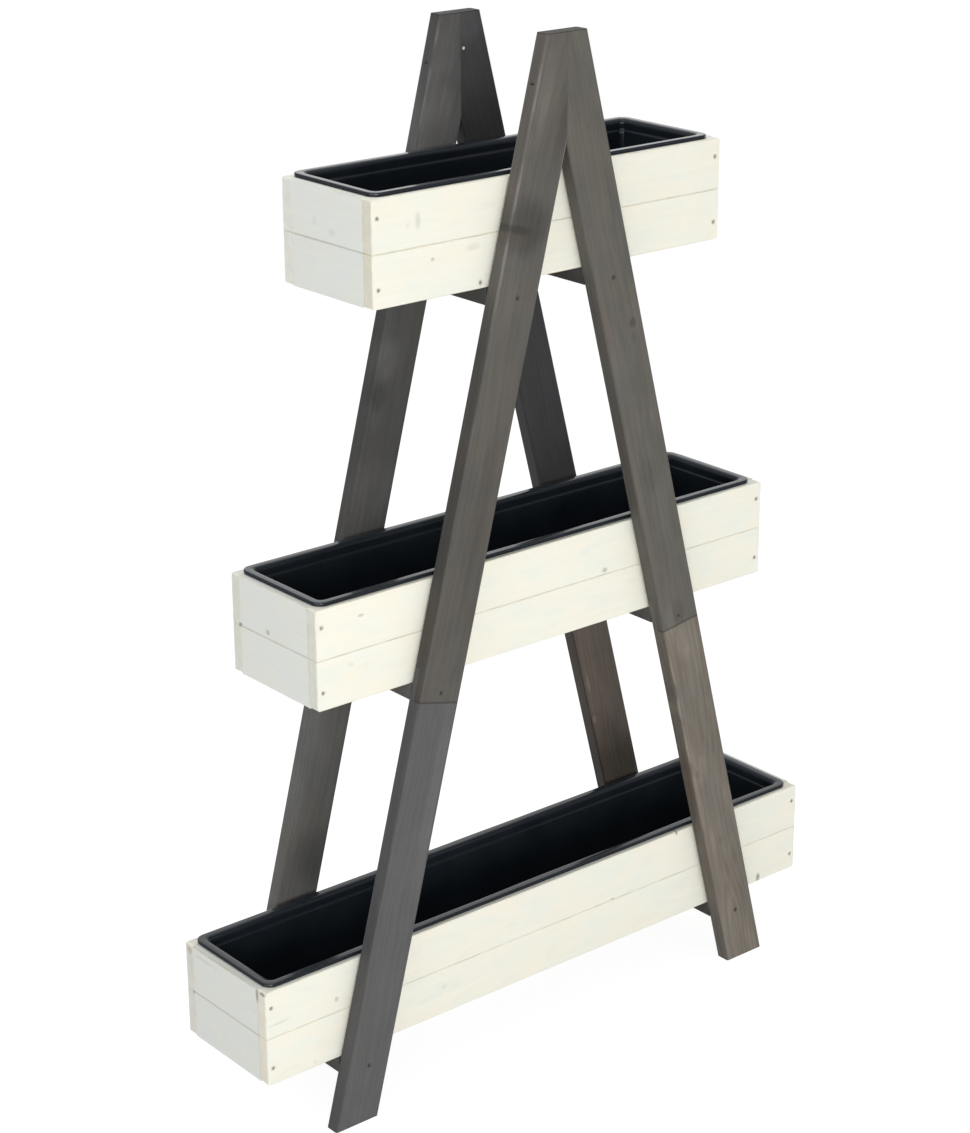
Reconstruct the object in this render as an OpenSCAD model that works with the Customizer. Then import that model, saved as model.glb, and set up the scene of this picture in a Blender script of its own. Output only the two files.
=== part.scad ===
// Plant ladder stand: two A-frames of lath carry three wooden planter boxes
// on cross bearers, and each box holds a lift-out plastic liner.
// Millimetres, +Z up. The origin is on the floor, midway between the feet.
// The front of the stand faces -Y.

/* [Ladder frames] */
// Height of the stand, feet to flat top
stand_h = 1454; // [1420:1:1600]
// Lean of each leg away from upright, in degrees
leg_lean = 14.5; // [12:0.5:17]
// Half the width of the flat top of a frame
apex_half_w = 34; // [28:1:36]
// Width of the leg lath, across its face
leg_w = 69; // [60:1:72]
// Thickness of the leg lath
leg_t = 22; // [18:1:28]
// Rounding of the lath's long edges
leg_edge_r = 2.5; // [1:0.5:5]

/* [Half-lap splices] */
// Drop from the middle box's underside to a splice's outer cut
splice_drop = 28; // [22:1:40]
// Length of the lap, along the leg
lap_len = 45; // [40:1:60]
// How far the front right splice was cut off square, in degrees
front_right_cut_turn = 6; // [0:1:14]

/* [Bearers] */
// Width of a bearer
bearer_w = 69; // [60:1:72]
// Height of a bearer
bearer_h = 24; // [20:1:30]
// Rounding of a bearer's long edges
bearer_edge_r = 2; // [1:0.5:4]

/* [Planter boxes] */
// Length of the top box
top_box_len = 600; // [560:5:640]
// Length of the middle box
middle_box_len = 805; // [760:5:850]
// Length of the bottom box
bottom_box_len = 1005; // [950:5:1060]
// Depth of every box, front face to rear face
box_depth = 189; // [170:1:210]
// Height of one board; a box is two boards high
board_h = 70.5; // [62:0.5:76]
// Thickness of a board
board_t = 18; // [15:0.5:21]
// Rounding of a board's edges
board_edge_r = 1.5; // [1:0.5:3]
// Rounding of a box's four corners, seen from the front
box_corner_r = 5; // [3:0.5:8]
// Gap between a box and the legs in front of and behind it
box_gap = 2.5; // [1:0.5:5]
// Height of the bottom box's underside above the floor
bottom_box_z = 99; // [80:1:120]
// Drop from the flat top to the top box's upper edge
top_box_drop = 178; // [165:1:195]

/* [Floor slats] */
// Width of a slat
slat_w = 70; // [50:1:90]
// Thickness of a slat
slat_t = 16; // [12:0.5:20]
// Distance of the top box's slats from its ends
top_slat_inset = 174; // [160:1:190]
// Distance of the middle box's slats from its ends
middle_slat_inset = 190; // [170:1:210]
// Distance of the bottom box's slats from its ends
bottom_slat_inset = 78; // [70:1:110]

/* [Plastic liners] */
// Wall of a liner
liner_wall = 2; // [1.5:0.1:2.5]
// Height of the rolled rim above the boards
rim_h = 5.6; // [5:0.1:7]
// How far the rim stops short of a box's front and rear faces
rim_setback = 5.5; // [3:0.5:7]
// How far the rim stops short of a box's ends
rim_end_setback = 10.5; // [6:0.5:12]
// The same for the top liner, which is a little short
top_rim_end_setback = 10; // [8:0.5:11]
// How far the middle and bottom liners sit to the left of the middle
liner_shift = 2; // [0:0.5:3]
// The same for the top liner
top_liner_shift = 2; // [0:0.5:5]
// Gap between a liner's collar and the long boards
liner_side_gap = 1; // [0.5:0.5:2]
// Gap between a liner's floor and the slats
liner_floor_gap = 6; // [3:1:15]
// Height of the collar, from the boards' tops down to the ledge
collar_h = 12; // [8:1:20]
// Width of the ledge under the collar
ledge_w = 2.5; // [1.5:0.5:4]
// How much the body draws in from the ledge to its floor
body_taper = 8; // [4:1:12]
// Rounding where the wall meets the floor
liner_floor_r = 5; // [3:0.5:8]
// Corner radius of the rim, seen from above
rim_corner_r = 16; // [13:1:20]
// Corner radius of the collar, seen from above
collar_corner_r = 9; // [7:1:12]

/* [Screws and nails] */
// Diameter of a screw's shank
screw_d = 4; // [3.5:0.5:5]
// Diameter of a screw's head
screw_head_d = 8; // [7:0.5:9]
// Height of a screw's countersunk head
screw_head_h = 3; // [2:0.5:4]
// Length of a screw through a leg into a bearer
bearer_screw_len = 50; // [40:1:60]
// Drop of these screws below a bearer's middle
bearer_screw_drop = 3; // [0:0.5:5]
// Length of a screw through a bearer into a box
box_screw_len = 50; // [35:1:60]
// Distance of a box screw from the bearer's middle
box_screw_off = 18; // [12:1:24]
// Length of a screw across the apex mitre
mitre_screw_len = 80; // [72:1:85]
// Drop from the flat top to the left mitre screw
left_mitre_screw_drop = 64; // [60:1:70]
// Drop from the flat top to the right mitre screw
right_mitre_screw_drop = 125; // [115:1:130]
// Diameter of a nail's shank
nail_d = 2.2; // [1.8:0.1:3]
// Diameter of a nail's head
nail_head_d = 4.6; // [4:0.1:6]
// Thickness of a nail's head
nail_head_t = 1; // [0.6:0.1:1.5]
// Length of a nail
nail_len = 40; // [30:1:50]
// Distance of a corner nail from the box's top or bottom edge
nail_inset = 25; // [15:1:35]
// Length of an apex nail
apex_nail_len = 18; // [12:1:20]
// Drop from the flat top to the upper apex nail
upper_apex_nail_drop = 48; // [35:1:58]
// Drop from the flat top to the lower apex nail
lower_apex_nail_drop = 176; // [165:1:190]
// Distance of an apex nail from the edge of the wood
apex_nail_edge = 5; // [4:0.5:8]
// Clearance between a fastener and its hole, on the radius
fastener_gap = 0.1; // [0.05:0.05:0.3]

/* [Hidden] */

// Tiers, sides, faces and rows
BOTTOM = 0;
MIDDLE = BOTTOM + 1;
TOP = MIDDLE + 1;
LEFT = -1;
RIGHT = 1;
FRONT = -1;
REAR = 1;
LOWER = 0;
UPPER = 1;

$fn = 32;
bore_fn = 32;
edge_steps = 3;
corner_steps = 6;
cut_past = 1;

// Boxes
box_lens = [bottom_box_len, middle_box_len, top_box_len];
slat_insets = [bottom_slat_inset, middle_slat_inset, top_slat_inset];
end_setbacks = [rim_end_setback, rim_end_setback, top_rim_end_setback];
liner_shifts = [-liner_shift, -liner_shift, -top_liner_shift];
box_h = 2 * board_h;
tier_pitch = (stand_h - top_box_drop - box_h - bottom_box_z) / TOP;
cavity_depth = box_depth - 2 * board_t;

// Frames
frame_gap = box_depth + 2 * box_gap;
leg_inner_y = frame_gap / 2;
leg_mid_y = leg_inner_y + leg_t / 2;
leg_outer_y = leg_inner_y + leg_t;
leg_face_w = leg_w / cos(leg_lean);
bar_reach = stand_h / cos(leg_lean) + leg_w;

// Splices
splice_z = bottom_box_z + tier_pitch - splice_drop;

// Liners, measured in from the rim's outer edge
liner_depth = box_h - slat_t - liner_floor_gap;
collar_in = board_t + liner_side_gap - rim_setback;
liner_w = box_depth - 2 * rim_setback;

// Height of a box's underside
function box_z(tier) = bottom_box_z + tier * tier_pitch;
// Distance of a box's slats from the middle
function slat_x(tier) = box_lens[tier] / 2 - slat_insets[tier];
// Half the spread of a frame's outer edges at height z
function outer_x(z) = apex_half_w + (stand_h - z) * tan(leg_lean);
// Distance of a leg's centreline from the middle at height z
function leg_x(z) = outer_x(z) - leg_face_w / 2;
function bearer_z(tier) = box_z(tier) - bearer_h / 2;
function bearer_x(tier) = leg_x(bearer_z(tier));

// ---------- Outlines ----------

// A w by h rectangle about the origin, with corners rounded to r
function rounded_rect(w, h, r, steps) = [
    for (corner = [0:3], step = [0:steps])
        let (a = 90 * (corner + step / steps),
             cx = (corner == 0 || corner == 3 ? 1 : -1) * (w / 2 - r),
             cy = (corner < 2 ? 1 : -1) * (h / 2 - r))
        [cx + r * cos(a), cy + r * sin(a)]
];

// A board with every edge eased: the space that three rounded prisms share
module eased_block(size, r) {
    intersection() {
        linear_extrude(size[2], center = true)
            polygon(rounded_rect(size[0], size[1], r, edge_steps));
        rotate([90, 0, 0])
            linear_extrude(size[1], center = true)
                polygon(rounded_rect(size[0], size[2], r, edge_steps));
        rotate([90, 0, 90])
            linear_extrude(size[0], center = true)
                polygon(rounded_rect(size[1], size[2], r, edge_steps));
    }
}

// ---------- Fasteners, with the head's top at the origin and the point down -Z ----------

module screw(len, gap = 0) {
    translate([0, 0, -screw_head_h])
        cylinder(h = screw_head_h, d1 = screw_d + 2 * gap, d2 = screw_head_d + 2 * gap, $fn = bore_fn);
    translate([0, 0, -len - gap])
        cylinder(h = len + gap, d = screw_d + 2 * gap, $fn = bore_fn);
    if (gap > 0)
        cylinder(h = cut_past, d = screw_head_d + 2 * gap, $fn = bore_fn);
}

module nail(len, gap = 0) {
    translate([0, 0, -nail_head_t - gap])
        cylinder(h = nail_head_t + gap, d = nail_head_d + 2 * gap, $fn = bore_fn);
    translate([0, 0, -len - gap])
        cylinder(h = len + gap, d = nail_d + 2 * gap, $fn = bore_fn);
    if (gap > 0)
        cylinder(h = cut_past, d = nail_head_d + 2 * gap, $fn = bore_fn);
}

// Turns a fastener so that it is driven in from a face: FRONT or REAR
module driven_from(face) {
    rotate([face == FRONT ? 90 : -90, 0, 0])
        children();
}

// ---------- Where the fasteners go; gap > 0 gives their holes ----------

// One screw through each leg into the end of each bearer
module bearer_screw_set(gap = 0) {
    for (face = [FRONT, REAR], tier = [BOTTOM:TOP], side = [LEFT, RIGHT])
        translate([side * bearer_x(tier), face * leg_outer_y, bearer_z(tier) - bearer_screw_drop])
            driven_from(face)
                screw(bearer_screw_len, gap);
}

// Two screws up through each bearer into the lower boards of the box on it, on
// the side of the bearer that is away from the slat's nails
module box_screw_set(gap = 0) {
    for (face = [FRONT, REAR], tier = [BOTTOM:TOP], side = [LEFT, RIGHT])
        translate([
            side * (bearer_x(tier) + (slat_x(tier) > bearer_x(tier) ? -1 : 1) * box_screw_off),
            face * (box_depth - board_t) / 2,
            box_z(tier) - bearer_h
        ])
            rotate([180, 0, 0])
                screw(box_screw_len, gap);
}

// Two screws across the mitre at the top of each frame, one from each side
module mitre_screw_set(gap = 0) {
    for (face = [FRONT, REAR], side = [LEFT, RIGHT])
        let (z = stand_h - (side == LEFT ? left_mitre_screw_drop : right_mitre_screw_drop))
        translate([side * (outer_x(z) - screw_head_d / 2 * tan(leg_lean)), face * leg_mid_y, z])
            rotate([0, side * 90, 0])
                screw(mitre_screw_len, gap);
}

// Two nails in the inner face of each frame's top: by the mitre, and by the crotch
module apex_nail_set(gap = 0) {
    lower_z = stand_h - lower_apex_nail_drop;
    for (face = [FRONT, REAR]) {
        translate([apex_nail_edge, face * leg_inner_y, stand_h - upper_apex_nail_drop])
            driven_from(-face)
                nail(apex_nail_len, gap);
        translate([leg_face_w - outer_x(lower_z) - apex_nail_edge, face * leg_inner_y, lower_z])
            driven_from(-face)
                nail(apex_nail_len, gap);
    }
}

// Nails of one box: one per board at each corner, and one per slat end
module box_nail_set(tier, gap = 0) {
    for (face = [FRONT, REAR], side = [LEFT, RIGHT]) {
        for (z = [nail_inset, box_h - nail_inset])
            translate([side * (box_lens[tier] - board_t) / 2, face * box_depth / 2, box_z(tier) + z])
                driven_from(face)
                    nail(nail_len, gap);
        translate([side * slat_x(tier), face * box_depth / 2, box_z(tier) + slat_t / 2])
            driven_from(face)
                nail(nail_len, gap);
    }
}

// ---------- Legs ----------

// Places children on a front leg: Z runs up the leg, from the outer splice cut
module on_leg(side) {
    translate([side * leg_x(splice_z), -leg_mid_y, splice_z])
        rotate([0, -side * leg_lean, 0])
            children();
}

// The whole leg, mitred at the middle and cut level at the top and the floor
module leg_blank(side) {
    intersection() {
        on_leg(side)
            translate([0, 0, -bar_reach])
                linear_extrude(2 * bar_reach)
                    polygon(rounded_rect(leg_w, leg_t, leg_edge_r, edge_steps));
        translate([side == LEFT ? -stand_h : 0, -leg_outer_y - leg_t, 0])
            cube([stand_h, 3 * leg_t, stand_h]);
    }
}

// The part of a leg that the lower piece fills: up to the outer cut, and on the
// inner half of the thickness as a tongue to the end of the lap
module lower_leg_zone(side, cut_turn) {
    on_leg(side)
        rotate([0, cut_turn, 0]) {
            translate([-bar_reach, -leg_t, -2 * bar_reach])
                cube([2 * bar_reach, 2 * leg_t, 2 * bar_reach]);
            translate([-bar_reach, 0, -cut_past])
                cube([2 * bar_reach, leg_t, lap_len + cut_past]);
        }
}

module leg(face, side, row) {
    cut_turn = face == FRONT && side == RIGHT ? front_right_cut_turn : 0;
    difference() {
        mirror([0, face == FRONT ? 0 : 1, 0])
            if (row == LOWER)
                intersection() {
                    leg_blank(side);
                    lower_leg_zone(side, cut_turn);
                }
            else
                difference() {
                    leg_blank(side);
                    lower_leg_zone(side, cut_turn);
                }
        bearer_screw_set(fastener_gap);
        if (row == UPPER) {
            mitre_screw_set(fastener_gap);
            apex_nail_set(fastener_gap);
        }
    }
}

module upper_leg(face, side) {
    color([0.39, 0.38, 0.36]) leg(face, side, UPPER);
}

module lower_leg(face, side) {
    color([0.46, 0.43, 0.39]) leg(face, side, LOWER);
}

// ---------- Bearers ----------

module bearer(tier, side) {
    color([0.24, 0.24, 0.23])
        difference() {
            translate([side * bearer_x(tier), 0, bearer_z(tier)])
                rotate([90, 0, 0])
                    linear_extrude(frame_gap, center = true)
                        polygon(rounded_rect(bearer_w, bearer_h, bearer_edge_r, edge_steps));
            bearer_screw_set(fastener_gap);
            box_screw_set(fastener_gap);
        }
}

// ---------- Boxes ----------

module long_board(tier, face, row) {
    color([0.97, 0.96, 0.91])
        difference() {
            intersection() {
                translate([0, face * (box_depth - board_t) / 2, box_z(tier) + (row + 0.5) * board_h])
                    eased_block([box_lens[tier], board_t, board_h], board_edge_r);
                translate([0, 0, box_z(tier) + box_h / 2])
                    rotate([90, 0, 0])
                        linear_extrude(2 * box_depth, center = true)
                            polygon(rounded_rect(box_lens[tier], box_h, box_corner_r, corner_steps));
            }
            box_nail_set(tier, fastener_gap);
            box_screw_set(fastener_gap);
        }
}

module end_board(tier, side, row) {
    color([0.88, 0.88, 0.86])
        difference() {
            translate([
                side * (box_lens[tier] - board_t) / 2,
                0,
                box_z(tier) + (row + 0.5) * board_h
            ])
                rotate([90, 0, 0])
                    linear_extrude(cavity_depth, center = true)
                        polygon(rounded_rect(board_t, board_h, board_edge_r, edge_steps));
            box_nail_set(tier, fastener_gap);
        }
}

module slat(tier, side) {
    color([0.93, 0.92, 0.87])
        difference() {
            translate([side * slat_x(tier), 0, box_z(tier) + slat_t / 2])
                rotate([90, 0, 0])
                    linear_extrude(cavity_depth, center = true)
                        polygon(rounded_rect(slat_w, slat_t, board_edge_r, edge_steps));
            box_nail_set(tier, fastener_gap);
        }
}

// ---------- Liners ----------

// The wall of a liner in section, as rings of [distance in from the rim's outer
// edge, height above the boards, corner radius]: from the floor up the outside,
// out under the rolled rim, over its bead, and down the inside to the floor
function liner_rings() =
    let (w = liner_wall,
         h = rim_h,
         fr = liner_floor_r,
         rc = collar_corner_r,
         rr = rim_corner_r,
         body_in = collar_in + ledge_w,
         foot_in = body_in + body_taper,
         ledge_drop = 0.6 * ledge_w,
         skirt_in = 0.12 * h)
    [
        // outside of the body
        [foot_in + fr, -liner_depth, rc],
        [foot_in + 0.3 * fr, -liner_depth + 0.3 * fr, rc + 0.4 * fr],
        [foot_in, -liner_depth + fr, rc + 0.6 * fr],
        [body_in, -collar_h - ledge_drop, rc],
        [collar_in, -collar_h, rc],
        // hollow of the rim
        [collar_in, h - 1.8 * w, rc],
        [collar_in - 0.8 * w, h - w, rc + 0.5 * w],
        [1.75 * w, h - w, rr - 1.5 * w],
        [w, h - 1.75 * w, rr - w],
        [w, 0, rr - w],
        // skirt, set back under the bead
        [skirt_in, 0, rr - skirt_in],
        [skirt_in, 0.3 * h, rr - skirt_in],
        // bead
        [0.03 * h, 0.38 * h, rr],
        [0, 0.55 * h, rr],
        [0.06 * h, 0.78 * h, rr],
        [0.2 * h, 0.93 * h, rr - 0.5 * w],
        [0.42 * h, h, rr - w],
        // inner edge of the rim
        [collar_in - 2.75 * w, h, rc + w],
        [collar_in - 1.25 * w, 0.86 * h, rc + 0.5 * w],
        [collar_in, 0.6 * h, rc],
        [collar_in + w, 0.1 * h, rc - w],
        // collar, ledge and inside of the body
        [collar_in + w, -collar_h + w, rc - w],
        [body_in + w, -collar_h + w - ledge_drop, rc - w],
        [foot_in + w, -liner_depth + w + 0.8 * fr, rc + 0.6 * fr - w],
        [foot_in + w + 0.8 * fr, -liner_depth + w, rc + 0.2 * fr - w]
    ];

// A closed skin through rings of points, one ring after another
module loft(rings) {
    n = len(rings[0]);
    last = len(rings) - 1;
    polyhedron(
        points = [for (ring = rings, point = ring) point],
        faces = concat(
            [[for (i = [0:n - 1]) i]],
            [[for (i = [0:n - 1]) last * n + n - 1 - i]],
            [for (k = [0:last - 1], i = [0:n - 1], half = [0, 1])
                let (a = k * n + i, b = k * n + (i + 1) % n)
                half == 0 ? [a, a + n, b] : [b, a + n, b + n]]
        )
    );
}

module liner(tier) {
    liner_len = box_lens[tier] - 2 * end_setbacks[tier];
    color([0.07, 0.08, 0.09])
        translate([liner_shifts[tier], 0, box_z(tier) + box_h])
            loft([
                for (ring = liner_rings())
                    [for (p = rounded_rect(liner_len - 2 * ring[0], liner_w - 2 * ring[0], ring[2], corner_steps))
                        [p[0], p[1], ring[1]]]
            ]);
}

// ---------- Fastener nodes ----------

module bearer_screws() {
    color([0.12, 0.12, 0.12]) bearer_screw_set();
}

module box_screws() {
    color([0.12, 0.12, 0.12]) box_screw_set();
}

module mitre_screws() {
    color([0.12, 0.12, 0.12]) mitre_screw_set();
}

module apex_nails() {
    color([0.80, 0.80, 0.80]) apex_nail_set();
}

module box_nails(tier) {
    color([0.35, 0.30, 0.25]) box_nail_set(tier);
}

// ---------- Nodes ----------

upper_leg(FRONT, LEFT);  // front_left_upper_leg
lower_leg(FRONT, LEFT);  // front_left_lower_leg
upper_leg(FRONT, RIGHT);  // front_right_upper_leg
lower_leg(FRONT, RIGHT);  // front_right_lower_leg
upper_leg(REAR, LEFT);  // rear_left_upper_leg
lower_leg(REAR, LEFT);  // rear_left_lower_leg
upper_leg(REAR, RIGHT);  // rear_right_upper_leg
lower_leg(REAR, RIGHT);  // rear_right_lower_leg

bearer(TOP, LEFT);  // top_left_bearer
bearer(TOP, RIGHT);  // top_right_bearer
bearer(MIDDLE, LEFT);  // middle_left_bearer
bearer(MIDDLE, RIGHT);  // middle_right_bearer
bearer(BOTTOM, LEFT);  // bottom_left_bearer
bearer(BOTTOM, RIGHT);  // bottom_right_bearer

long_board(TOP, FRONT, UPPER);  // top_front_upper_board
long_board(TOP, FRONT, LOWER);  // top_front_lower_board
long_board(TOP, REAR, UPPER);  // top_rear_upper_board
long_board(TOP, REAR, LOWER);  // top_rear_lower_board
end_board(TOP, LEFT, UPPER);  // top_left_upper_board
end_board(TOP, LEFT, LOWER);  // top_left_lower_board
end_board(TOP, RIGHT, UPPER);  // top_right_upper_board
end_board(TOP, RIGHT, LOWER);  // top_right_lower_board

long_board(MIDDLE, FRONT, UPPER);  // middle_front_upper_board
long_board(MIDDLE, FRONT, LOWER);  // middle_front_lower_board
long_board(MIDDLE, REAR, UPPER);  // middle_rear_upper_board
long_board(MIDDLE, REAR, LOWER);  // middle_rear_lower_board
end_board(MIDDLE, LEFT, UPPER);  // middle_left_upper_board
end_board(MIDDLE, LEFT, LOWER);  // middle_left_lower_board
end_board(MIDDLE, RIGHT, UPPER);  // middle_right_upper_board
end_board(MIDDLE, RIGHT, LOWER);  // middle_right_lower_board

long_board(BOTTOM, FRONT, UPPER);  // bottom_front_upper_board
long_board(BOTTOM, FRONT, LOWER);  // bottom_front_lower_board
long_board(BOTTOM, REAR, UPPER);  // bottom_rear_upper_board
long_board(BOTTOM, REAR, LOWER);  // bottom_rear_lower_board
end_board(BOTTOM, LEFT, UPPER);  // bottom_left_upper_board
end_board(BOTTOM, LEFT, LOWER);  // bottom_left_lower_board
end_board(BOTTOM, RIGHT, UPPER);  // bottom_right_upper_board
end_board(BOTTOM, RIGHT, LOWER);  // bottom_right_lower_board

slat(TOP, LEFT);  // top_left_slat
slat(TOP, RIGHT);  // top_right_slat
slat(MIDDLE, LEFT);  // middle_left_slat
slat(MIDDLE, RIGHT);  // middle_right_slat
slat(BOTTOM, LEFT);  // bottom_left_slat
slat(BOTTOM, RIGHT);  // bottom_right_slat

liner(TOP);  // top_liner
liner(MIDDLE);  // middle_liner
liner(BOTTOM);  // bottom_liner

bearer_screws();
box_screws();
mitre_screws();
apex_nails();
box_nails(TOP);  // top_box_nails
box_nails(MIDDLE);  // middle_box_nails
box_nails(BOTTOM);  // bottom_box_nails
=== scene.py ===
# %% [markdown]
# # A plant ladder stand, piece by piece
# The real stand is two A-shaped frames of stained lath with three long planter
# boxes between them, and a black plastic liner hangs in each box.
# The shapes were made in a CAD program, and they are right, so this lesson
# leaves them where they are. It gives every lath and board its own wood, and it
# builds again what CAD leaves plain: the liners, the screws and the nails.

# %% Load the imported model
import math
import bmesh
import bpy
from mathutils import Matrix, Vector


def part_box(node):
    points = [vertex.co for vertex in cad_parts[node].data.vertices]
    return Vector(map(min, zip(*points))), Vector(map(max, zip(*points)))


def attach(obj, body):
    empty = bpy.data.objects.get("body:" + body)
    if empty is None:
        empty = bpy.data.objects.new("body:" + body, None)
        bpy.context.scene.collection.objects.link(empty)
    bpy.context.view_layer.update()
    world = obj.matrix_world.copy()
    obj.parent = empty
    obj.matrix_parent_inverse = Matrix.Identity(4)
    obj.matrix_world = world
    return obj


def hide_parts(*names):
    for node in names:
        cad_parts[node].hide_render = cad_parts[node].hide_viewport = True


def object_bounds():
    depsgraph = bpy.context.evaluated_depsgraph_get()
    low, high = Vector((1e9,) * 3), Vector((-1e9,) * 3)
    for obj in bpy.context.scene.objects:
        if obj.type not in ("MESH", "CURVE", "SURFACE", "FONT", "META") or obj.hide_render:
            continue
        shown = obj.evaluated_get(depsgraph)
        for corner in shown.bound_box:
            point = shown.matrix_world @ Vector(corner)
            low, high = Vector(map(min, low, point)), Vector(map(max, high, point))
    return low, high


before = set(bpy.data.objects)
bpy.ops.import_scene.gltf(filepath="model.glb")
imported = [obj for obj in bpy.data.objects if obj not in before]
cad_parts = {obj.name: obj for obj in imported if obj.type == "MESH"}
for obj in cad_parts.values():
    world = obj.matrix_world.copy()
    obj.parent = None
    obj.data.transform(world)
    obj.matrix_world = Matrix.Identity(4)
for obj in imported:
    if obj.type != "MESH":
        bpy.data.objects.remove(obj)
CAD_LOW, CAD_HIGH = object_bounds()
print("CAD nodes:", len(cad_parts), "size:", [round(v, 3) for v in CAD_HIGH - CAD_LOW])

# %% [markdown]
# ## The maker's numbers
# Everything is in metres, with the floor at z = 0 and the front towards -Y.
# The liners, screws and nails are built again below, so the numbers that place
# them are kept in one cell. Heights and lengths that a CAD node already has are
# read from the node, because two copies of one number drift apart.

# %% Write down what places the pieces
MM = 0.001
TIERS = ("bottom", "middle", "top")
SIDES = {"left": -1, "right": 1}
FACES = {"front": -1, "rear": 1}
STAND_H = CAD_HIGH.z
LEAN = math.radians(14.5)
APEX_HALF = 34 * MM
LEG_W, LEG_T = 69 * MM, 22 * MM
LEG_FACE_W = LEG_W / math.cos(LEAN)
LEG_OUT_Y = CAD_HIGH.y
LEG_MID_Y, LEG_IN_Y = LEG_OUT_Y - LEG_T / 2, LEG_OUT_Y - LEG_T
LAP = 45 * MM
LATH_RING, BOARD_RING = 6.8 * MM, 4.6 * MM
BOARD_T = 18 * MM
SPLICE_DROP = 28 * MM
SPLICE_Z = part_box("middle_front_lower_board")[0].z - SPLICE_DROP
SLAT_NAIL_UP, CORNER_NAIL_UP = 8 * MM, 25 * MM
BEARER_SCREW_DROP, BOX_SCREW_OFF = 3 * MM, 18 * MM
MITRE_SCREW_DROP = {"left": 64 * MM, "right": 125 * MM}
APEX_NAIL_EDGE, APEX_NAIL_HIGH, APEX_NAIL_LOW = 5 * MM, STAND_H - 48 * MM, STAND_H - 176 * MM


def outer_x(z):
    """Half the spread of a frame at height z."""
    return APEX_HALF + (STAND_H - z) * math.tan(LEAN)


def leg_x(z):
    """How far a leg's centreline is from the middle at height z."""
    return outer_x(z) - LEG_FACE_W / 2


print("spread at the floor:", round(2 * outer_x(0), 3), "splice at", round(SPLICE_Z, 3))

# %% [markdown]
# ## The camera
# The photograph looks down on the stand from its front left. The camera's place
# and lens were solved from the edges and corners that the photograph shows, so
# they are numbers here. The lens is given in pixels, and Blender wants it in
# millimetres on a 36 mm sensor that spans the picture's long side.

# %% Place the camera
PHOTO_LONG_SIDE = 1133
LENS_PX = 2617.7
CAMERA_AT = Vector((-2.2148, -2.6329, 1.9769))
TURN, DIP, ROLL = (math.radians(a) for a in (-39.519, 20.423, -0.316))

ahead = Vector((-math.sin(TURN) * math.cos(DIP), math.cos(TURN) * math.cos(DIP), -math.sin(DIP)))
level = Vector((math.cos(TURN), math.sin(TURN), 0))
above = level.cross(ahead)
right = level * math.cos(ROLL) + above * math.sin(ROLL)
up = above * math.cos(ROLL) - level * math.sin(ROLL)


def new_object(name, data):
    """An object that puts this data into the scene."""
    made = bpy.data.objects.new(name, data)
    bpy.context.scene.collection.objects.link(made)
    return made


camera = new_object("camera", bpy.data.cameras.new("camera"))
camera.data.sensor_width = 36
camera.data.lens = LENS_PX / PHOTO_LONG_SIDE * camera.data.sensor_width
camera.matrix_world = Matrix.Translation(CAMERA_AT) @ Matrix((right, up, -ahead)).transposed().to_4x4()
bpy.context.scene.camera = camera
bpy.context.scene.view_settings.view_transform = "Standard"
print("lens:", round(camera.data.lens, 2), "mm")

# %% [markdown]
# ## A helper for finishes
# A finish in Blender is a graph of nodes. Joining nodes by hand takes many
# lines, so one class makes a node, sets it and feeds its sockets in one call,
# and has a short method for each kind of node that the stand needs. The sky is
# such a graph too, without a shader of its own. A value that is the same all
# over a surface goes straight on the shader's own socket.


# %% Make the finish helper
def chip(red, green, blue):
    """A colour as a screen shows it, 0 to 255, turned into the linear values that light uses."""
    linear = [v / 255 / 12.92 if v < 10.3 else ((v / 255 + 0.055) / 1.055) ** 2.4 for v in (red, green, blue)]
    return (*linear, 1)


class Graph:
    """The nodes of one material, or of the sky, while they are being made."""

    def __init__(self, owner):
        owner.use_nodes = True
        self.tree = owner.node_tree
        self.tree.nodes.clear()

    def node(self, kind, sockets=None, **settings):
        made = self.tree.nodes.new(kind)
        for name, value in settings.items():
            setattr(made, name, value)
        for name, value in (sockets or {}).items():
            self.feed(made.inputs[name], value)
        return made

    def feed(self, socket, value):
        if isinstance(value, bpy.types.NodeSocket):
            self.tree.links.new(value, socket)
        else:
            socket.default_value = value

    def math(self, operation, *values):
        return self.node("ShaderNodeMath", dict(enumerate(values)), operation=operation).outputs[0]

    def line(self, value, slope, start):
        """The value times a slope, plus a start."""
        return self.math("MULTIPLY_ADD", value, slope, start)

    def times(self, first, *rest):
        for value in rest:
            first = self.math("MULTIPLY", first, value)
        return first

    def most(self, first, *rest):
        for value in rest:
            first = self.math("MAXIMUM", first, value)
        return first

    def seen_directly(self):
        """1 for the camera's rays and for reflections, and 0 for the rays that carry light."""
        path = self.node("ShaderNodeLightPath").outputs
        return self.most(*(path[f"Is {kind} Ray"] for kind in ("Camera", "Glossy", "Transmission")))


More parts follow.
